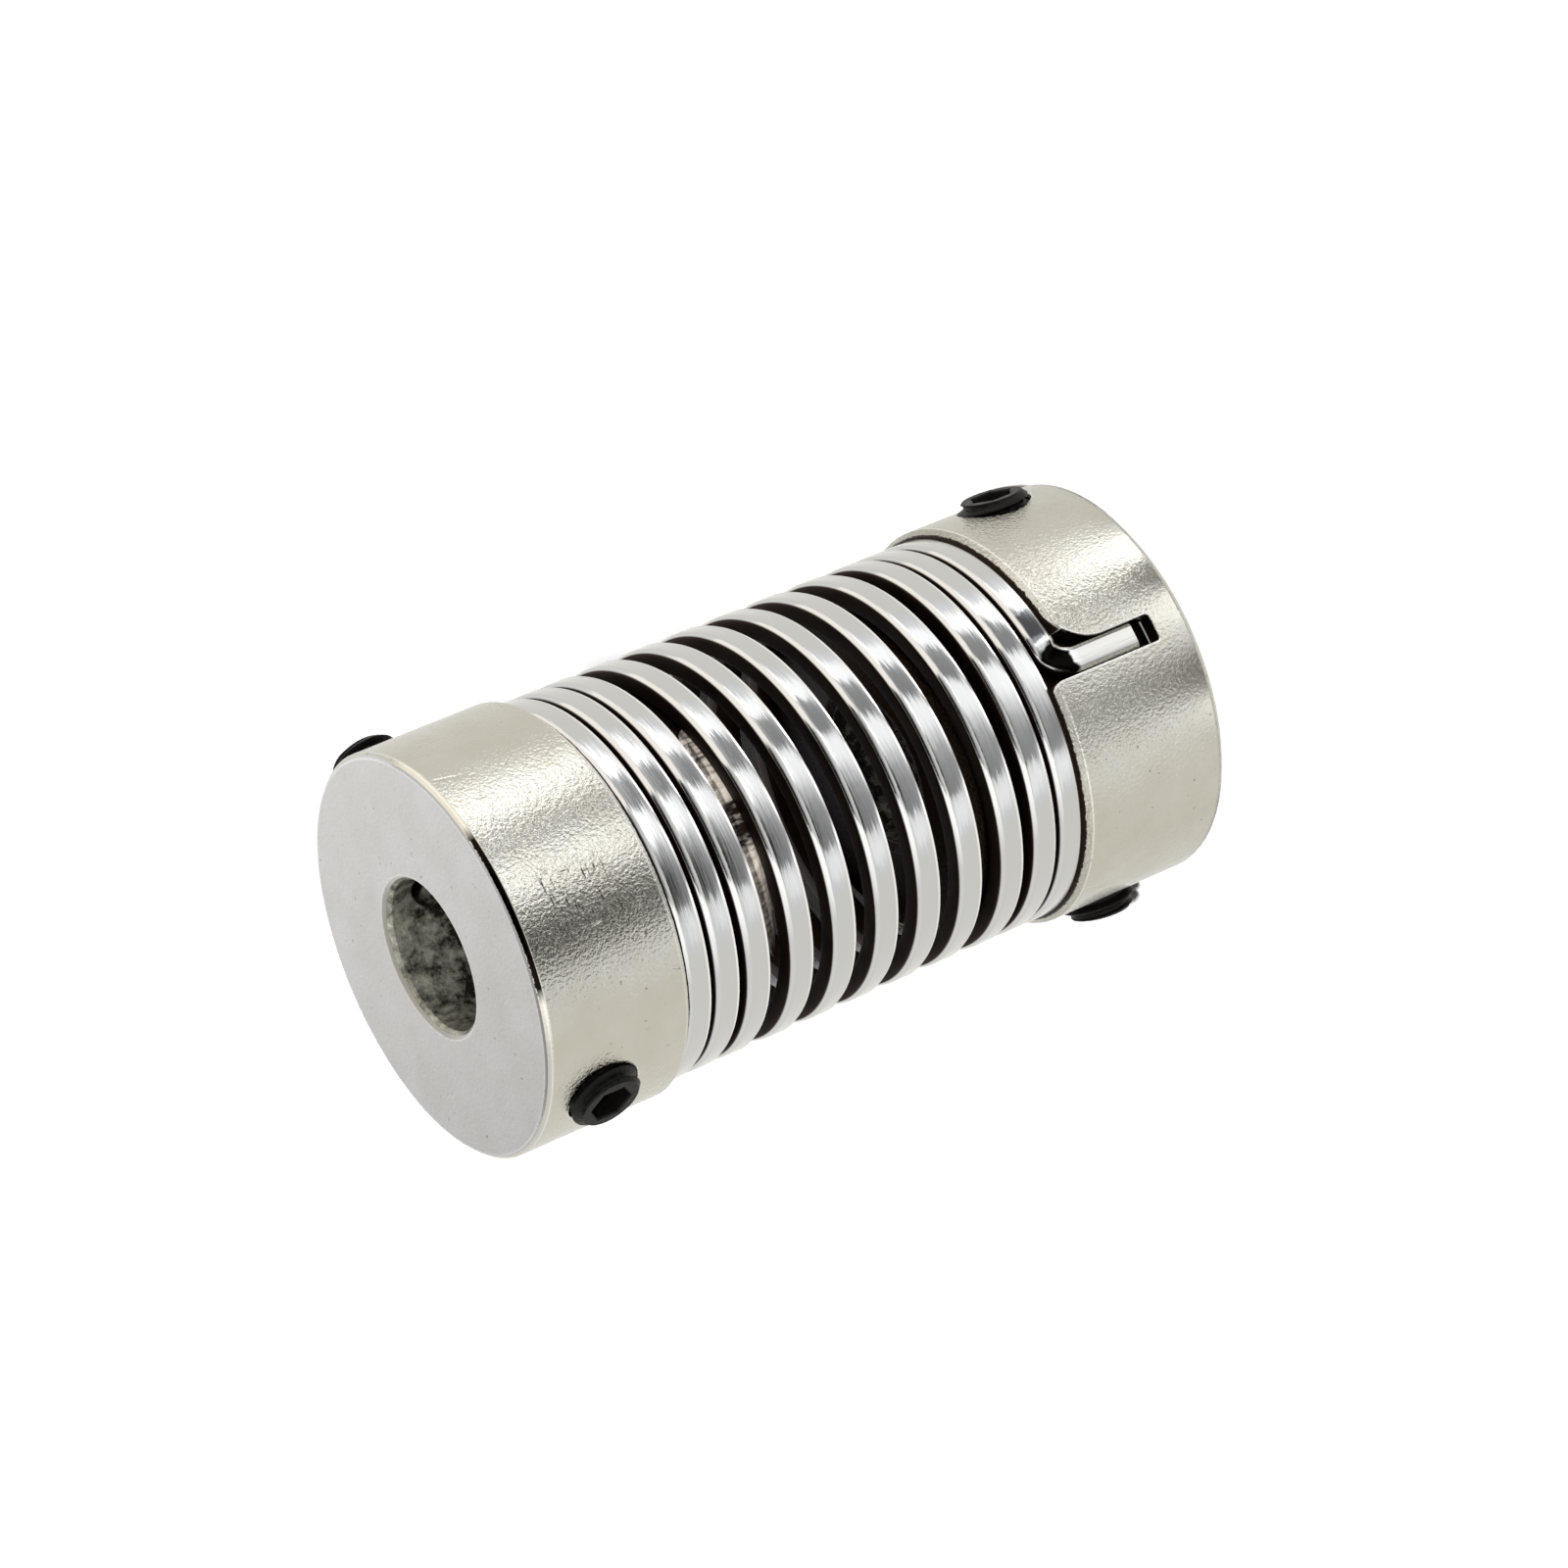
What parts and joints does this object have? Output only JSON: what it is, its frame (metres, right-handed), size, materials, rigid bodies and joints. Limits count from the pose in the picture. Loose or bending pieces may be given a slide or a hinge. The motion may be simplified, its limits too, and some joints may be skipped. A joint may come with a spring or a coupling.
{
  "type": "flat-wire spring shaft coupling",
  "caption": "Flexible shaft coupling: a hooked coil spring of flat wire joins nickel-plated hubs with plain bores, each clamped to its shaft by black set screws.",
  "frame": {"origin": "centre of the bore at the end face of the lower hub, which the coupling stands on", "axes": "+Z along the common bore axis from the lower hub to the upper hub; +X through the lower hub's front set screw"},
  "size_m": [0.0171, 0.016, 0.031],
  "materials": {
    "hub_nickel": "satin nickel plate",
    "spring_steel": "polished stainless spring wire",
    "screw_black": "black oxide"
  },
  "bodies": {
    "root": {"lower_hub": "hub_nickel", "upper_hub": "hub_nickel", "spring": "spring_steel", "lower_set_screw_front": "screw_black", "lower_set_screw_rear": "screw_black", "upper_set_screw_front": "screw_black", "upper_set_screw_rear": "screw_black"}
  },
  "joints": []
}
